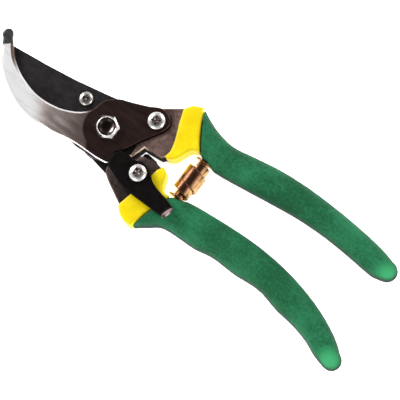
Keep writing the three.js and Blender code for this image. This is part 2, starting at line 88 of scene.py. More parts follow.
class Look:
    """A node material: a Principled shader, and short ways to add the nodes before it."""

    def __init__(self, name, **values):
        self.material = bpy.data.materials.new(name)
        self.material.use_nodes = True
        self.tree = self.material.node_tree
        self.shader = self.tree.nodes["Principled BSDF"]
        for socket, value in values.items():
            self.shader.inputs[socket.replace("_", " ")].default_value = value
        coordinates = self.tree.nodes.new("ShaderNodeTexCoord")
        self.place = coordinates.outputs["Object"]
        self.normal = coordinates.outputs["Normal"]

    def node(self, kind, inputs=None, **settings):
        made = self.tree.nodes.new("ShaderNode" + kind)
        for name, value in settings.items():
            setattr(made, name, value)
        for key, value in (inputs or {}).items():
            if isinstance(value, bpy.types.NodeSocket):
                self.tree.links.new(value, made.inputs[key])
            else:
                made.inputs[key].default_value = value
        return made

    def noise(self, scale, detail=3.0, roughness=0.5, stretch=(1, 1, 1)):
        place = self.node("Mapping", {"Vector": self.place, "Scale": stretch}).outputs["Vector"]
        found = self.node("TexNoise", {"Vector": place, "Scale": scale, "Detail": detail,
                                       "Roughness": roughness})
        return found.outputs["Fac"]

    def along(self, direction, start=Vector((0, 0, 0))):
        """How far a point lies along a direction from a start, in millimetres."""
        from_start = self.node("VectorMath", {0: self.place, 1: start * MM}, operation="SUBTRACT")
        offset = from_start.outputs["Vector"]
        dot = self.node("VectorMath", {0: offset, 1: direction / MM}, operation="DOT_PRODUCT")
        return dot.outputs["Value"]

    def distance(self, centre=Vector((0, 0, 0))):
        """How far a point lies from a vertical axis, in millimetres."""
        flat = self.node("VectorMath", {0: self.place, 1: (1 / MM, 1 / MM, 0)}, operation="MULTIPLY")
        away = self.node("VectorMath", {0: flat.outputs["Vector"], 1: centre}, operation="DISTANCE")
        return away.outputs["Value"]

    def facing(self):
        """Which way a surface faces: 1 straight up, 0 sideways, -1 straight down."""
        return self.node("SeparateXYZ", {"Vector": self.normal}).outputs["Z"]

    def between(self, value, low, high, to_low=0.0, to_high=1.0):
        """A smooth change from to_low at the low value to to_high at the high value."""
        found = self.node("MapRange", {"Value": value, "From Min": low, "From Max": high,
                                       "To Min": to_low, "To Max": to_high}, interpolation_type="SMOOTHSTEP")
        return found.outputs["Result"]

    def until(self, value, low, high):
        """1 below the low value, 0 above the high value."""
        return self.between(value, low, high, 1.0, 0.0)

    def math(self, operation, a, b):
        return self.node("Math", {0: a, 1: b}, operation=operation).outputs["Value"]

    def times(self, a, b):
        return self.math("MULTIPLY", a, b)

    def mix(self, factor, a, b):
        """Colour a where the factor is 0 and colour b where it is 1."""
        found = self.node("Mix", {"Factor": factor}, data_type="RGBA")
        for socket, value in ((found.inputs[6], a), (found.inputs[7], b)):
            if isinstance(value, bpy.types.NodeSocket):
                self.tree.links.new(value, socket)
            else:
                socket.default_value = (*value, 1)
        return found.outputs[2]

    def drive(self, socket, value):
        self.tree.links.new(value, self.shader.inputs[socket])

    def bump(self, height, strength, distance):
        found = self.node("Bump", {"Height": height, "Strength": strength, "Distance": distance * MM})
        self.drive("Normal", found.outputs["Normal"])


STEEL_ROUGHNESS = 0.34
HIGHLIGHT_CORNER = Vector((16.4, -0.2, 0))  # the one place where a frame's chamfer gets a painted highlight
UNLIT_BELOW = (7.9, 8.3)  # heights between which the frames go from painted shade, near black, to their own colour


def satin_steel(name, dark, light, edge):
    """Oxidised steel: soft clouds and a fine grain, painted shade near black on its flanks and low parts, and
    a painted highlight on the chamfer at one corner.
    """
    look = Look(name, Specular_IOR_Level=0.15)
    clouds = look.noise(90.0, 4.0, 0.6)
    fine = look.noise(810.0, 3.0, 0.6)
    tone = look.math("ADD", look.times(clouds, 0.7), look.times(fine, 0.3))
    flat = look.mix(look.between(tone, 0.3, 0.68), dark, light)
    facing = look.facing()
    chamfer = look.times(look.between(facing, 0.3, 0.5), look.until(facing, 0.86, 0.96))
    wear_and_highlight = look.between(look.distance(HIGHLIGHT_CORNER), 4.2, 5.6, 1.0, 0.04)
    # painted shade: faces turned sideways and everything below UNLIT_BELOW go near black
    lit = look.math("MINIMUM", look.between(facing, 0.0, 0.3), look.between(look.along(AXIS_Z), *UNLIT_BELOW))
    flat = look.mix(lit, (0.010, 0.008, 0.007), flat)
    # painted highlight: the chamfer round that one corner takes the edge colour
    look.drive("Base Color", look.mix(look.times(chamfer, wear_and_highlight), flat, edge))
    look.drive("Metallic", look.times(lit, 0.95))
    rough = look.between(fine, 0.2, 0.8, STEEL_ROUGHNESS - 0.06, STEEL_ROUGHNESS + 0.08)
    look.drive("Roughness", look.math("MAXIMUM", rough, look.between(lit, 0.0, 1.0, 0.95, 0.2)))
    look.bump(look.noise(2600.0, 2.0), 0.2, 0.04)
    return look.material


NICKEL_COLOUR = (0.74, 0.72, 0.71)
NICKEL_ROUGHNESS = 0.16


def plated(look, roughness):
    """The uneven gloss that all plated metal has."""
    look.drive("Roughness", look.between(look.noise(900.0), 0.3, 0.7, roughness, roughness + 0.12))
    look.bump(look.noise(1500.0, 2.0), 0.12, 0.03)


def bright_metal(name, colour, roughness=NICKEL_ROUGHNESS, shade=0.72, head=None, crown=None):
    """Plated metal; `head` (centre, radius, top) gives a screw head a darker mottled middle and painted shade
    in its recess, `crown` paints shade on what faces up.
    """
    look = Look(name, Metallic=1.0)
    tint = look.noise(420.0, 4.0, 0.6)
    dark = tuple(c * shade for c in colour)
    shown = look.mix(look.between(tint, 0.35, 0.65), dark, colour)
    if head:
        centre, radius, top = head
        near = look.until(look.distance(Vector((*centre, 0))), 0.40 * radius, 0.72 * radius)
        darker_middle = look.times(near, look.between(look.noise(900.0, 2.0), 0.40, 0.52))
        shown = look.mix(darker_middle, shown, (0.22, 0.17, 0.155))
        # painted shade: the recess below the head's top goes dark in patches
        deep = look.until(look.along(AXIS_Z), top - 0.75, top - 0.3)
        patches = look.between(look.noise(1100.0, 2.0), 0.4, 0.55)
        recess_shade = look.mix(patches, (0.06, 0.046, 0.042), (0.30, 0.25, 0.235))
        shown = look.mix(look.times(near, deep), shown, recess_shade)
    # painted shade: faces turned up take the crown colour
    if crown:
        shown = look.mix(look.between(look.facing(), 0.62, 0.86), shown, crown)
    look.drive("Base Color", shown)
    plated(look, roughness)
    return look.material


DISH_RADIUS = 3.85
RIM_RADIUS = 4.42  # the bolt's chamfers start outside it


def bolt_nickel():
    """The pivot bolt: bright, with painted shade in its dish but for a painted crescent highlight, and
    painted shade on its chamfers on the other side.
    """
    look = Look("bolt_nickel", Metallic=1.0)
    radius = look.distance()
    side = look.along((IMAGE_RIGHT + 0.6 * IMAGE_DOWN).normalized())
    head = look.between(look.along(AXIS_Z), BOLT_BASE + 0.7, BOLT_BASE + 1.1)
    tint = look.noise(420.0, 4.0, 0.6)
    bright = look.mix(look.between(tint, 0.35, 0.65), (0.58, 0.56, 0.55), (0.85, 0.83, 0.82))
    # painted shade in the dish, with a painted crescent highlight on one side
    dish_highlight = look.times(look.between(side, 1.3, 2.2), look.until(radius, 3.2, 3.5))
    dish = look.mix(dish_highlight, (0.022, 0.014, 0.013), (0.17, 0.13, 0.125))
    inside = look.until(radius, DISH_RADIUS, DISH_RADIUS + 0.15)
    shown = look.mix(look.times(inside, head), bright, dish)
    # painted shade: the chamfers outside the rim go dark on the other side
    chamfer = look.times(look.between(radius, RIM_RADIUS, RIM_RADIUS + 0.13), look.until(side, 0.0, 1.6))
    look.drive("Base Color", look.mix(look.times(chamfer, head), shown, (0.028, 0.022, 0.021)))
    plated(look, NICKEL_ROUGHNESS)
    return look.material


HOOK_NOSE = Vector((-59.35, 3.35, 0))  # where the hook's painted nose starts
NOSE_X, NOSE_Y = -0.642, 0.766  # the direction in which it points
HOOK_INSIDE = Vector((-52.75, -3.0, 0))
BRIGHT_TO_BROWN = (-33.0, -26.5)  # spans along the picture's right
BROWN_TO_DARK = (-26.0, -10.0)


def blade_steel():
    """The counter-blade: ground steel painted bright towards its tip as reflection, brown with temper colour
    towards the pivot, dark round the pivot; a painted highlight on its bevel edge and a painted shade band
    inside the tip.
    """
    look = Look("counter_blade_steel", Metallic=1.0)
    right, down, from_pivot = look.along(IMAGE_RIGHT), look.along(IMAGE_DOWN), look.distance()
    facing = look.facing()
    grain = look.noise(160.0, 5.0, 0.65, stretch=(0.5, 3.0, 1.0))
    streaks = look.between(grain, 0.3, 0.7)
    clouds = look.noise(60.0, 4.0, 0.6)
    unevenness = look.math("SUBTRACT", clouds, 0.5)
    shifted = look.math("ADD", right, look.times(unevenness, 7.0))

    # partly painted reflection: the steel is painted bright towards the tip; the brown towards the pivot is
    # temper colour
    bright = look.mix(streaks, (0.475, 0.47, 0.475), (0.51, 0.505, 0.51))
    brown = look.mix(streaks, (0.47, 0.385, 0.365), (0.58, 0.485, 0.46))
    ground = look.mix(look.between(shifted, *BRIGHT_TO_BROWN), bright, brown)
    shown = look.mix(look.between(shifted, *BROWN_TO_DARK), ground, (0.225, 0.165, 0.145))

    not_flat = look.until(facing, 0.985, 0.995)
    bevel = look.times(look.between(facing, 0.5, 0.6), not_flat)
    # painted highlight: the bevel's edge is bright towards the tip
    edge = look.mix(look.between(shifted, -32.0, -25.0), (0.46, 0.44, 0.435), (0.80, 0.77, 0.76))
    shown = look.mix(look.times(bevel, look.between(from_pivot, 11.0, 14.0)), shown, edge)

    # painted shade and painted reflection of the dark blade: a dark brown band on the hook's inner flank near
    # the tip
    slope = look.times(look.between(facing, -0.1, 0.0), not_flat)
    inner = look.between(look.along(Vector((0.62, 0.78, 0)), HOOK_INSIDE), 0.5, 1.5)
    at_tip = look.until(look.along(Vector((0.94, 0.34, 0))), -50.5, -44.0)
    shown = look.mix(look.times(slope, look.times(inner, at_tip)), shown, (0.075, 0.048, 0.033))

    below = look.times(look.between(right, -10.4, -8.8), look.between(down, 3.0, 6.0))
    beside = look.math("MAXIMUM", below, look.between(right, -6.5, -5.0))
    heel = look.math("MAXIMUM", look.until(from_pivot, 10.6, 11.6), beside)
    back = look.times(look.between(down, 6.0, 8.0), look.until(right, -1.0, 1.0))
    heel = look.times(heel, look.math("SUBTRACT", 1.0, look.times(back, bevel)))
    shown = look.mix(heel, shown, look.mix(clouds, (0.026, 0.015, 0.013), (0.052, 0.032, 0.027)))

    nose = look.math("ADD", look.along(Vector((NOSE_X, NOSE_Y, 0)), HOOK_NOSE), look.times(unevenness, 1.2))
    look.drive("Base Color", look.mix(look.between(nose, -0.2, 0.2), shown, (0.022, 0.022, 0.023)))
    look.drive("Metallic", look.between(shifted, -35.0, -25.0, 0.15, 1.0))
    look.drive("Roughness", look.math("ADD", look.between(heel, 0.0, 1.0, 0.29, 0.34),
                                      look.between(grain, 0.3, 0.7, -0.05, 0.06)))
    look.bump(grain, 0.05, 0.03)
    return look.material


def black_coating(name, dark, light, roughness, gloss, ground_bevel=False, worn_tab=False):
    """A matt black coating; the cutting blade's ground bevel and the lever's worn thumb tab show steel."""
    look = Look(name, Metallic=0.0, Specular_IOR_Level=gloss)
    height = look.along(AXIS_Z)
    clouds = look.noise(120.0, 4.0, 0.6)
    colour = look.mix(look.between(clouds, 0.3, 0.7), dark, light)
    if worn_tab:
        wear_and_highlight = look.times(look.between(height, LEVER_HIGH + 1.0, LEVER_HIGH + 2.2),
                          look.between(clouds, 0.3, 0.5))
        colour = look.mix(wear_and_highlight, colour, (0.52, 0.38, 0.37))
        look.drive("Metallic", wear_and_highlight)
    if ground_bevel:
        ground = look.times(look.between(height, CUTTING_LOW + 0.12, CUTTING_LOW + 0.2),
                            look.until(look.facing(), -0.2, -0.1))
        grain = look.noise(90.0, 4.0, 0.6, stretch=(5.0, 0.6, 1.0))
        colour = look.mix(ground, colour, look.mix(grain, (0.42, 0.41, 0.42), (0.62, 0.61, 0.62)))
        look.drive("Metallic", ground)
    look.drive("Base Color", colour)
    look.drive("Roughness", look.between(look.noise(500.0), 0.3, 0.7, roughness - 0.05, roughness + 0.1))
    look.bump(look.noise(3000.0, 2.0), 0.2, 0.03)
    return look.material


def plastic(name, dark, light, roughness, gloss, grain_scale, grain_depth, painted_flank, painted_flank_range, highlight_ends=()):
    """Moulded plastic with a fine grain, its flanks painted another colour for light and shade, and a painted
    highlight near each end.
    """
    look = Look(name, IOR=1.5, Specular_IOR_Level=gloss)
    clouds = look.noise(55.0, 4.0, 0.6)
    specks = look.noise(grain_scale, 3.0, 0.65)
    tone = look.math("ADD", look.times(clouds, 0.6), look.times(specks, 0.4))
    shown = look.mix(look.between(tone, 0.36, 0.64), dark, light)
    facing = look.facing()
    # painted light and shade: faces turned sideways take the flank colour
    shown = look.mix(look.until(facing, *painted_flank_range), shown, painted_flank)
    # painted highlight: a lighter patch near each given end, on faces turned up
    for end in highlight_ends:
        near = look.times(look.until(look.distance(end), 1.0, 8.5), look.between(facing, 0.25, 0.75))
        shown = look.mix(near, shown, (0.034, 0.29, 0.11))
    look.drive("Base Color", shown)
    look.drive("Roughness", look.between(specks, 0.3, 0.7, roughness - 0.05, roughness + 0.07))
    look.bump(specks, 0.4, grain_depth)
    return look.material


# edge is the colour of the painted highlight on a frame's chamfer
UPPER_STEEL = satin_steel("upper_frame_steel", dark=(0.125, 0.078, 0.066), light=(0.33, 0.215, 0.185),
                          edge=(1.0, 0.76, 0.63))
LOWER_STEEL = satin_steel("lower_frame_steel", dark=(0.034, 0.024, 0.022), light=(0.095, 0.068, 0.062),
                          edge=(0.30, 0.21, 0.18))
BLADE_STEEL = blade_steel()
COATING = black_coating("black_coating", dark=(0.0055, 0.0046, 0.0052), light=(0.0125, 0.0100, 0.0115),
                        roughness=0.36, gloss=0.2, ground_bevel=True)
LEVER_BLACK = black_coating("lever_black", dark=(0.0014, 0.0008, 0.0007), light=(0.0036, 0.0024, 0.0026),
                            roughness=0.38, gloss=0.06, worn_tab=True)
NICKEL = bright_metal("bright_nickel", NICKEL_COLOUR)
BOLT_NICKEL = bolt_nickel()
# crown: the spring's top is painted darker, as shade
ZINC = bright_metal("yellow_zinc", (0.80, 0.48, 0.21), roughness=0.17, shade=0.6, crown=(0.10, 0.045, 0.025))
# yellow: its flanks are painted brighter, as light
YELLOW = plastic("yellow_plastic", dark=(0.56, 0.42, 0.0005), light=(0.66, 0.51, 0.001),
                 roughness=0.36, gloss=0.2, grain_scale=260.0, grain_depth=0.02,
                 painted_flank=(0.98, 0.84, 0.002), painted_flank_range=(0.1, 0.7))
# green: its flanks are painted darker, as shade, and its ends lighter, as painted highlights
GREEN = plastic("green_plastic", dark=(0.0040, 0.062, 0.023), light=(0.0140, 0.136, 0.058),
                roughness=0.6, gloss=0.12, grain_scale=800.0, grain_depth=0.1,
                painted_flank=(0.0020, 0.020, 0.010), painted_flank_range=(0.05, 0.5),
                highlight_ends=(Vector((138.6, 21.6, 0)), Vector((141.0, -23.6, 0))))


# ---- Mesh helpers ----------------------------------------------------------------------------------

def finish_mesh(obj, material, angle):
    """A piece's material, and smooth shading that stops at edges over an angle in degrees."""
    obj.data.materials.clear()
    obj.data.materials.append(material)
    obj.data.shade_smooth()
    obj.data.set_sharp_from_angle(angle=math.radians(angle))


def flat_faces_flat(obj):
    """Shades a piece so that its large flat faces stay flat beside their rounded edges."""
    weighted = obj.modifiers.new("flat", "WEIGHTED_NORMAL")
    weighted.weight = 100
    weighted.keep_sharp = True


def round_edges(obj, width, angle):
    """Rounds a new piece's edges over an angle in degrees."""
    edges = obj.modifiers.new("edges", "BEVEL")
    edges.width = width * MM
    edges.segments = 2
    edges.angle_limit = math.radians(angle)
    bake(obj)


def new_object(name, mesh):
    obj = bpy.data.objects.new(name, mesh)
    bpy.context.scene.collection.objects.link(obj)
    return obj


def change_mesh(obj, change):
    work = bmesh.new()
    work.from_mesh(obj.data)
    change(work)
    work.to_mesh(obj.data)
    work.free()


def face_outward(work):
    bmesh.ops.recalc_face_normals(work, faces=work.faces)


def close_axis(work):
    """Merges the points that a turned piece has on its axis."""
    bmesh.ops.remove_doubles(work, verts=work.verts, dist=0.001 * MM)
    bmesh.ops.dissolve_degenerate(work, edges=work.edges, dist=0.0001 * MM)
    face_outward(work)


def object_from(name, points, faces):
    """A new object from points in millimetres."""
    mesh = bpy.data.meshes.new(name)
    mesh.from_pydata([Vector(p) * MM for p in points], [], faces)
    mesh.validate()
    obj = new_object(name, mesh)
    change_mesh(obj, face_outward)
    return obj


def bake(obj):
    """Turns the modifiers into mesh."""
    graph = bpy.context.evaluated_depsgraph_get()
    done = bpy.data.meshes.new_from_object(obj.evaluated_get(graph))
    obj.modifiers.clear()
    obj.data = done


def join(obj, *parts):
    """Adds the meshes of other objects to this one."""
    work = bmesh.new()
    for part in (obj, *parts):
        work.from_mesh(part.data)
    work.to_mesh(obj.data)
    work.free()
    for part in parts:
        bpy.data.objects.remove(part)


def combine(obj, operation, *tools):
    """Cuts, joins or intersects a piece with tools, which are used up."""
    for tool in tools:
        cut = obj.modifiers.new("combine", "BOOLEAN")
        cut.operation = operation
        cut.solver = "EXACT"
        cut.object = tool
    bake(obj)
    for tool in tools:
        bpy.data.objects.remove(tool)


def lofted(name, rings):
    """A skin over rings of points, capped at both ends."""
    size = len(rings[0])
    points = [p for ring in rings for p in ring]
    faces = []
    for here in range(0, len(points) - size, size):
        there = here + size
        faces += [(here + i, here + (i + 1) % size, there + (i + 1) % size, there + i) for i in range(size)]
    faces += [tuple(range(size)), tuple(range(len(points) - size, len(points)))]
    return object_from(name, points, faces)


def turned(name, profile, centre, sides):
    """A round piece about a vertical axis, from (radius, height) points; the first and last lie on it."""
    size = len(profile)
    points, faces = [], []
    for i in range(sides):
        angle = 2 * math.pi * i / sides
        points += [(centre[0] + r * math.cos(angle), centre[1] + r * math.sin(angle), z) for r, z in profile]
        here, there = i * size, ((i + 1) % sides) * size
        faces += [(here + k, here + k + 1, there + k + 1, there + k) for k in range(size - 1)]
    obj = object_from(name, points, faces)
    change_mesh(obj, close_axis)
    return obj


def cylinder(centre, radius, low, high):
    return turned("tool", [(0, low), (radius, low), (radius, high), (0, high)], centre, 48)


# ---- Outlines taken from the CAD -------------------------------------------------------------------

def slice_loops(node, height):
    """The closed outlines of a CAD node at a height in millimetres, longest first."""
    work = bmesh.new()
    work.from_mesh(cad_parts[node].data)
    bmesh.ops.remove_doubles(work, verts=work.verts, dist=0.002 * MM)
    cut = bmesh.ops.bisect_plane(work, geom=work.verts[:] + work.edges[:] + work.faces[:],
                                 plane_co=AXIS_Z * height * MM, plane_no=AXIS_Z)["geom_cut"]
    links = {}
    for edge in cut:
        if isinstance(edge, bmesh.types.BMEdge):
            a, b = edge.verts
            links.setdefault(a, []).append(b)
            links.setdefault(b, []).append(a)
    loops, used = [], set()
    for start in links:
        if start in used:
            continue
        loop, here, before = [], start, None
        while here is not None and here not in used:
            used.add(here)
            loop.append(Vector((here.co.x / MM, here.co.y / MM)))
            onward = [v for v in links[here] if v is not before and v not in used]
            before, here = here, onward[0] if onward else None
        loops.append(loop)
    work.free()
    return sorted(loops, key=lambda points: -sum((a - b).length for a, b in zip(points, points[1:])))


def area_of(loop):
    """The area inside a loop, negative where it runs clockwise."""
    return sum(a.x * b.y - b.x * a.y for a, b in zip(loop, loop[1:] + loop[:1])) / 2


def without_crowding(loop, least):
    kept = [loop[0]]
    for point in loop[1:]:
        if (point - kept[-1]).length > least:
            kept.append(point)
    return kept


CORNER_ANGLE = 38  # degrees of turn from which a loop's point is a corner


def fine_loop(loop, spacing):
    """A loop turned anticlockwise with even spacing, smooth between its corners."""
    loop = without_crowding(loop, 0.3)
    if area_of(loop) < 0:
        loop.reverse()
    count = len(loop)

    def direction(i):
        return (loop[(i + 1) % count] - loop[i]).normalized()

    sharp = [direction(i - 1).angle(direction(i)) > math.radians(CORNER_ANGLE) for i in range(count)]
    fine = []
    for i in range(count):
        a, b = loop[i], loop[(i + 1) % count]
        before = a - (b - a) if sharp[i] else loop[i - 1]
        after = b + (b - a) if sharp[(i + 1) % count] else loop[(i + 2) % count]
        span = (b - a).length
        tangent_a = (b - before) * span / ((b - a).length + (a - before).length)
        tangent_b = (after - a) * span / ((after - b).length + (b - a).length)
        steps = max(1, round(span / spacing))
        for k in range(steps):
            t = k / steps
            fine.append((2 * t ** 3 - 3 * t ** 2 + 1) * a + (t ** 3 - 2 * t ** 2 + t) * tangent_a
                        + (-2 * t ** 3 + 3 * t ** 2) * b + (t ** 3 - t ** 2) * tangent_b)
    return fine


def outward_normals(loop):
    count = len(loop)
    normals = []
    for i in range(count):
        along = (loop[(i + 1) % count] - loop[i - 1]).normalized()
        normals.append(Vector((along.y, -along.x)))
    return normals


def smooth_values(values, rounds):
    """Evens out a value that is held for each point of a loop."""
    for _ in range(rounds):
        values = [(values[i - 1] + 2 * values[i] + values[(i + 1) % len(values)]) / 4
                  for i in range(len(values))]
    return values


def step(value, low, high):
    """0 up to the low value and 1 from the high value, with a smooth change between them."""
    t = min(1.0, max(0.0, (value - low) / (high - low)))
    return t * t * (3 - 2 * t)


def slab(name, loop, profile):
    """A plate from an outline: each profile entry is an inset and a height, or a list of them."""
    normals = outward_normals(loop)
    rings = []
    for insets, heights in profile:
        insets = insets if isinstance(insets, list) else [insets] * len(loop)
        heights = heights if isinstance(heights, list) else [heights] * len(loop)
        rings.append([((p - n * inset).x, (p - n * inset).y, z)
                      for p, n, inset, z in zip(loop, normals, insets, heights)])
    return lofted(name, rings)


def rounded_profile(low, high, radius):
    """A plate's profile with both of its edges rounded."""
    steps = 4
    angles = [math.pi / 2 * k / steps for k in range(steps + 1)]
    below = [(radius * (1 - math.sin(a)), low + radius * (1 - math.cos(a))) for a in angles]
    above = [(radius * (1 - math.cos(a)), high - radius * (1 - math.sin(a))) for a in angles]
    return below + above


# ---- Counter-blade ---------------------------------------------------------------------------------

def toward_nose(point):
    """How far a point lies along the direction in which the hook's nose points."""
    return point.x * NOSE_X + point.y * NOSE_Y


def counter_blade():
    """The hooked blade with its ground bevels: narrow along the shearing edge, wide along the back."""
    loop = fine_loop(slice_loops("counter_blade", (COUNTER_LOW + COUNTER_HIGH) / 2)[0], 0.45)
    fuller = [0.9 * step(toward_nose(p), 42.5, 46.0) for p in loop]
    loop = [p + n * more for p, n, more in zip(loop, outward_normals(loop), fuller)]
    widths, drops = [], []
    for point, normal in zip(loop, outward_normals(loop)):
        in_blade = 1 - step(point.x, -15.0, -9.0)
        blunt = 1 - 0.7 * step(toward_nose(point), 39.0, 43.0)
        shear = step(normal.y, -0.2, 0.2) * (1 - step(-point.y, 13.0, 14.0))
        tip = step(-point.x, 44.0, 53.0)
        ground = shear * (0.35 + 0.75 * tip) + (1 - shear) * (1 - step(point.x, -34.0, -16.0))
        widths.append(0.4 + in_blade * blunt * ground)
        drops.append(0.3 + in_blade * blunt * (0.12 if shear > 0.5 else 0.32))
    widths, drops = smooth_values(widths, 6), smooth_values(drops, 6)
    profile = [(inset, COUNTER_LOW + rise) for inset, rise in ((0.5, 0), (0.2, 0.08), (0.06, 0.22), (0, 0.5))]
    for share, drop in ((0.0, 1.0), (0.06, 0.8), (0.35, 0.5), (0.9, 0.06), (1.0, 0.0)):
        profile.append(([w * share for w in widths], [COUNTER_HIGH - d * drop for d in drops]))
    blade = slab("fine_counter_blade", loop, profile)
    combine(blade, "DIFFERENCE", cylinder(PIVOT, PIVOT_BORE, 5, 20),
            cylinder(COUNTER_SCREW, LOOSE_BORE, 5, 20))
    finish_mesh(blade, BLADE_STEEL, 50)
    flat_faces_flat(blade)
    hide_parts("counter_blade")
    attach(blade, "upper_handle")


# ---- Lock lever ------------------------------------------------------------------------------------

TAB_PLACE, TAB_TURN, TAB_WIDTH = (42.6, -13.9), -14.0, 6.2
TAB_SPINE = ((-1.5, 1.0), (0.4, 1.05), (1.6, 1.6), (2.3, 2.8), (2.9, 4.3), (3.45, 5.5))  # (outward, up)
RIB_RADIUS, RIB_REACH = 0.3, 2.3
RIB_START, RIB_RISE, RIB_OFFSET = (2.3, 2.8), (1.1, 2.6), (-0.62, 0.3)  # (outward, up) along the tab's face


def swollen(value, power):
    """A sine or cosine raised to a power, with its sign kept."""
    return math.copysign(abs(value) ** power, value)


def thumb_tab():
    """The tab's curved plate: a rounded section swept along its spine, narrower at the end."""
    sections = []
    last = len(TAB_SPINE) - 1
    for i, (x, z) in enumerate(TAB_SPINE):
        ahead = Vector(TAB_SPINE[min(i + 1, last)]) - Vector(TAB_SPINE[max(i - 1, 0)])
        across = Vector((-ahead.y, ahead.x)).normalized()
        half = TAB_WIDTH / 2 - (0.9 if i == last else 0.0)
        thick = 0.95 - 0.07 * i
        ring = []
        for k in range(20):
            angle = 2 * math.pi * k / 20
            side = swollen(math.cos(angle), 0.35) * half
            lift = swollen(math.sin(angle), 0.5) * thick
            ring.append((x + across.x * lift, side, z + across.y * lift))
        sections.append(ring)
    return lofted("tab", sections)


def tab_rib(share):
    """One rib across the tab, at a share of the way up its face."""
    x, z = (start + share * rise + offset for start, rise, offset in zip(RIB_START, RIB_RISE, RIB_OFFSET))
    angles = [2 * math.pi * k / 12 for k in range(12)]
    return lofted("rib", [[(x + RIB_RADIUS * math.cos(a), y, z + RIB_RADIUS * math.sin(a)) for a in angles]
                          for y in (-RIB_REACH, RIB_REACH)])


def lock_lever():
    """A pressed lever with rounded edges and a ribbed thumb tab."""
    loop = fine_loop(slice_loops("lock_lever", LEVER_LOW + 0.5)[0], 0.5)
    plate = slab("fine_lock_lever", loop, rounded_profile(LEVER_LOW, LEVER_HIGH, 0.45))
    tab = [thumb_tab()] + [tab_rib(share) for share in (0.15, 0.5, 0.85)]
    for part in tab:
        part.data.transform(Matrix.Translation(Vector((*TAB_PLACE, LEVER_LOW)) * MM)
                            @ Matrix.Rotation(math.radians(TAB_TURN), 4, "Z"))
    combine(plate, "DIFFERENCE", cylinder(LOCK, LOOSE_BORE, 10, 20))
    join(plate, *tab)
    finish_mesh(plate, LEVER_BLACK, 40)
    flat_faces_flat(plate)
    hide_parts("lock_lever")
    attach(plate, "lock_lever")


# ---- Screws and bolt -------------------------------------------------------------------------------

def tapered_bar(length, wide, narrow, top, bottom, centre, turn):
    """One bar of a cross recess, shorter and narrower at its bottom."""
    corners = []
    for z, half, reach in ((bottom, narrow / 2, length * 0.32), (top, wide / 2, length / 2)):
        corners.append([(x * reach, y * half, z) for x, y in ((-1, -1), (1, -1), (1, 1), (-1, 1))])
    bar = lofted("tool", corners)
    bar.data.transform(Matrix.Translation(Vector((*centre, 0)) * MM) @ Matrix.Rotation(turn, 4, "Z"))
    return bar


def pan_screw(node, body, centre, head, height, base, end, shank, turn, colour=NICKEL_COLOUR):
    """A pan head screw with a domed head and a cross recess; head and shank are radii."""
    top, skirt, over = base + height, 0.42 * height, base + height + 0.3
    dome = []
    for k in range(10):
        angle = math.pi / 2 * k / 10
        dome.append((head * math.cos(angle), base + skirt + 0.58 * height * math.sin(angle)))
    profile = [(0, end), (shank - 0.4, end), (shank, end + 0.4), (shank, base), (head - 0.15, base),
               (head, base + 0.15), *dome, (0, top)]
    screw = turned("fine_" + node, profile, centre, 72)
    floor = top - 0.62 * height
    arms = [tapered_bar(1.25 * head, 0.30 * head, 0.16 * head, over, floor, centre, turn + quarter)
            for quarter in (0, math.pi / 2)]
    well = turned("tool", [(0, top - 0.8 * height), (0.34 * head, top - 0.35 * height), (0.40 * head, over),
                           (0, over)], centre, 32)
    combine(screw, "DIFFERENCE", *arms, well)
    round_edges(screw, 0.06, 40)
    finish_mesh(screw, bright_metal(node + "_nickel", colour, head=(centre, head, top)), 35)
    flat_faces_flat(screw)
    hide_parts(node)
    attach(screw, body)


def pivot_bolt():
    """The pivot bolt: a hexagon turned down to a round rim at its top, with a dished middle."""
    base, top, corner = BOLT_BASE, BOLT_TOP, ACROSS_FLATS / math.sqrt(3)
    angles = [math.pi / 3 * k for k in range(6)]
    bolt = lofted("fine_pivot_bolt", [[(corner * math.sin(a), corner * math.cos(a), z) for a in angles]
                                      for z in (base, top)])
    outer = corner + 0.3
    cone = turned("tool", [(0, base - 1), (outer, base - 1), (outer, top - 1.7), (4.5, top - 0.15),
                           (4.38, top - 0.03), (4.25, top), (0, top)], PIVOT, 96)
    dish = turned("tool", [(0, top - 1.6), (2.0, top - 1.5), (3.2, top - 1.1), (DISH_RADIUS, top - 0.4),
                           (4.05, top - 0.08), (4.15, top + 0.01), (4.3, top + 1), (0, top + 1)], PIVOT, 96)
    shank = turned("tool", [(0, 0), (3.4, 0), (4.0, 0.6), (4.0, base + 0.1), (0, base + 0.1)], PIVOT, 64)
    combine(bolt, "INTERSECT", cone)
    combine(bolt, "DIFFERENCE", dish)
    combine(bolt, "UNION", shank)
    round_edges(bolt, 0.1, 30)
    finish_mesh(bolt, BOLT_NICKEL, 35)
    flat_faces_flat(bolt)
    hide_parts("pivot_bolt")
    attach(bolt, "upper_handle")


# ---- Spring ----------------------------------------------------------------------------------------

STRIP_CORNER = 0.3


def strip_section():
    """The strip's cross-section: a tall rectangle with rounded corners."""
    half_strip, half_height = SPRING["strip"] / 2 - STRIP_CORNER, SPRING["height"] / 2 - STRIP_CORNER
    section = []
    for sx, sy in ((1, 1), (-1, 1), (-1, -1), (1, -1)):
        for k in range(4):
            a = math.atan2(sy, sx) - math.pi / 4 + math.pi / 6 * k
            section.append((sx * half_strip + STRIP_CORNER * math.cos(a),
                            sy * half_height + STRIP_CORNER * math.sin(a)))
    return section


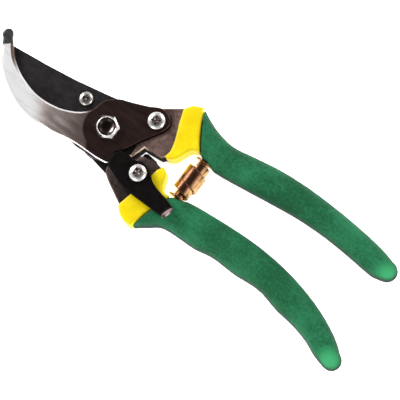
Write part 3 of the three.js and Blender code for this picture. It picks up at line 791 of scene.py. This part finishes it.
def volute_spring():
    """The strip spring, finely wound."""
    steps, rings, weights = 200, [], []
    section = strip_section()
    for i in range(steps + 1):
        turn = SPRING["turns"] * (2 * i / steps - 1)
        radius = SPRING["radius"] - SPRING["pitch"] * abs(turn)
        along = SPRING["centre"] + SPRING["rise"] * turn
        angle = 2 * math.pi * turn
        rings.append([(SPRING["x"] + (radius + r) * math.cos(angle), along + y,
                       MID + (radius + r) * math.sin(angle)) for r, y in section])
        weights += [step(i / steps, 0.0, 1.0)] * len(section)
    spring = lofted("fine_volute_spring", rings)
    finish_mesh(spring, ZINC, 50)
    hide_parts("volute_spring")
    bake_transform(spring)


# ---- Plastic pieces --------------------------------------------------------------------------------

def moulded(node, body, material, voxel, rounds, lumps):
    """A soft copy of a CAD piece: remeshed, smoothed, and uneven by about the height of its lumps."""
    obj = new_object("fine_" + node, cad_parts[node].data.copy())
    remesh = obj.modifiers.new("remesh", "REMESH")
    remesh.mode = "VOXEL"
    remesh.voxel_size = voxel * MM
    smooth = obj.modifiers.new("smooth", "CORRECTIVE_SMOOTH")
    smooth.iterations = rounds
    smooth.use_only_smooth = True
    bake(obj)
    if lumps:
        moved = []
        for vertex in obj.data.vertices:
            height = noise.noise(vertex.co / (2.6 * MM)) + 0.5 * noise.noise(vertex.co / (1.1 * MM))
            moved.append(vertex.co + vertex.normal * lumps * MM * height)
        for vertex, place in zip(obj.data.vertices, moved):
            vertex.co = place
    finish_mesh(obj, material, 60)
    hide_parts(node)
    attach(obj, body)


# ---- CAD pieces that stay --------------------------------------------------------------------------

BLADE_BEVEL_ANGLE = 14  # the cutting blade's bevel is shallow, so its edges are rounded from this angle

KEPT = {  # material, edge radius and, where it isn't EDGE_ANGLE, the angle
    "cutting_blade": (COATING, 0.12, BLADE_BEVEL_ANGLE),
    "upper_frame": (UPPER_STEEL, 0.15),
    "lower_frame": (LOWER_STEEL, 0.15),
    "pivot_washer": (NICKEL, 0.12),
    "pivot_nut": (NICKEL, 0.18),
    "blade_nut": (NICKEL, 0.12),
    "lock_spacer": (LOWER_STEEL, 0.1),
    "lock_wave_washer": (NICKEL, 0.05),
    "upper_spring_seat": (ZINC, 0.15),
    "lower_spring_seat": (ZINC, 0.15),
}


def refine(node, material, edge, angle=EDGE_ANGLE):
    """A CAD piece with its finish and with rounded edges, on top of its unchanged mesh."""
    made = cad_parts[node]
    made.data.materials.clear()
    made.data.materials.append(material)
    for face in made.data.polygons:
        face.use_smooth = True
    weld = made.modifiers.new("weld", "WELD")
    weld.merge_threshold = 0.004 * MM
    flats = made.modifiers.new("flats", "DECIMATE")
    flats.decimate_type = "DISSOLVE"
    flats.angle_limit = math.radians(1.0)
    bevel = made.modifiers.new("edges", "BEVEL")
    bevel.width = edge * MM
    bevel.segments = 2
    bevel.limit_method = "ANGLE"
    bevel.angle_limit = math.radians(angle)
    bevel.harden_normals = True
    bevel.use_clamp_overlap = True
    if angle < EDGE_ANGLE:
        flat_faces_flat(made)


for node, finish in KEPT.items():
    refine(node, *finish)

counter_blade()
lock_lever()
pivot_bolt()
pan_screw("counter_blade_screw", "upper_handle", COUNTER_SCREW, head=4.0, height=2.3, base=14.2, end=4.4,
          shank=2.0, turn=0.5)
pan_screw("blade_screw", "lower_handle", BLADE_SCREW, head=3.2, height=1.9, base=10.6, end=1.4,
          shank=1.5, turn=0.2, colour=(0.46, 0.44, 0.42))
pan_screw("lock_screw", "lower_handle", LOCK, head=4.0, height=2.6, base=16.7, end=4.4,
          shank=2.0, turn=0.9)
volute_spring()
for half in ("upper", "lower"):
    moulded(half + "_grip", half + "_handle", GREEN, voxel=0.55, rounds=6, lumps=0.05)
for half in ("upper", "lower"):
    moulded(half + "_collar", half + "_handle", YELLOW, voxel=0.3, rounds=12, lumps=0.0)


# ---- Stage, light and camera -----------------------------------------------------------------------

TARGET = Vector((51.95, -0.75, 12.0)) * MM
DISTANCE = 2.5
FRAME_WIDTH = 0.1753
TILT_RIGHT, TILT_DOWN = 0.09, 0.20
SENSOR = 36.0  # width of the camera's sensor, in its own millimetres
FLOOR_SIZE, FLOOR_GAP = 8.0, 0.0002
LAMP_SIZE, LAMP_HEIGHT = 0.7, 0.75
LAMPS = (  # name, place right and down from the target, and power in watts
    ("key", -0.8, -0.7, 14.0),
    ("fill", 0.9, 0.5, 6.0),
    ("side", -0.6, 0.9, 6.0),
    ("back", 0.8, -0.8, 6.0),
)


def stage():
    look = Look("floor", Roughness=0.9, Emission_Strength=0.85, Emission_Color=(1.0, 1.0, 1.0, 1.0))
    look.drive("Base Color", look.mix(look.noise(4.0), (0.90, 0.90, 0.90), (0.92, 0.92, 0.92)))
    bpy.ops.mesh.primitive_plane_add(size=FLOOR_SIZE, location=(0, 0, cad_box[0].z - FLOOR_GAP))
    floor = bpy.context.object
    floor.name = "floor"
    floor.data.materials.append(look.material)


def area_light(name, place, power):
    data = bpy.data.lights.new(name, "AREA")
    data.shape = "DISK"
    data.size = LAMP_SIZE
    data.energy = power
    lamp = new_object(name, data)
    lamp.location = place
    lamp.rotation_euler = (TARGET - place).to_track_quat("-Z", "Y").to_euler()


def camera():
    data = bpy.data.cameras.new("camera")
    data.sensor_width = SENSOR
    data.lens = SENSOR * DISTANCE / FRAME_WIDTH
    data.clip_end = 10.0
    made = new_object("camera", data)
    back = (AXIS_Z + TILT_RIGHT * IMAGE_RIGHT + TILT_DOWN * IMAGE_DOWN).normalized()
    right = (IMAGE_RIGHT - back * IMAGE_RIGHT.dot(back)).normalized()
    up = back.cross(right)
    turn = Matrix((right, up, back)).transposed().to_4x4()
    made.matrix_world = Matrix.Translation(TARGET + back * DISTANCE) @ turn
    bpy.context.scene.camera = made


def light():
    """A white world, full at the horizon and dimmer overhead, and four round lamps."""
    world = bpy.data.worlds.new("studio")
    bpy.context.scene.world = world
    world.use_nodes = True
    tree = world.node_tree
    direction = tree.nodes.new("ShaderNodeTexCoord").outputs["Generated"]
    height = tree.nodes.new("ShaderNodeSeparateXYZ")
    tree.links.new(direction, height.inputs["Vector"])
    fade = tree.nodes.new("ShaderNodeMapRange")
    for socket, value in (("From Min", 0.6), ("From Max", 0.97), ("To Min", 1.0), ("To Max", 0.24)):
        fade.inputs[socket].default_value = value
    tree.links.new(height.outputs["Z"], fade.inputs["Value"])
    tree.links.new(fade.outputs["Result"], tree.nodes["Background"].inputs["Strength"])
    tree.nodes["Background"].inputs["Color"].default_value = (1.0, 1.0, 1.0, 1.0)
    for name, right, down, power in LAMPS:
        area_light(name, TARGET + right * IMAGE_RIGHT + down * IMAGE_DOWN + LAMP_HEIGHT * AXIS_Z, power)


stage()
camera()
light()
bpy.context.scene.view_settings.view_transform = "Standard"
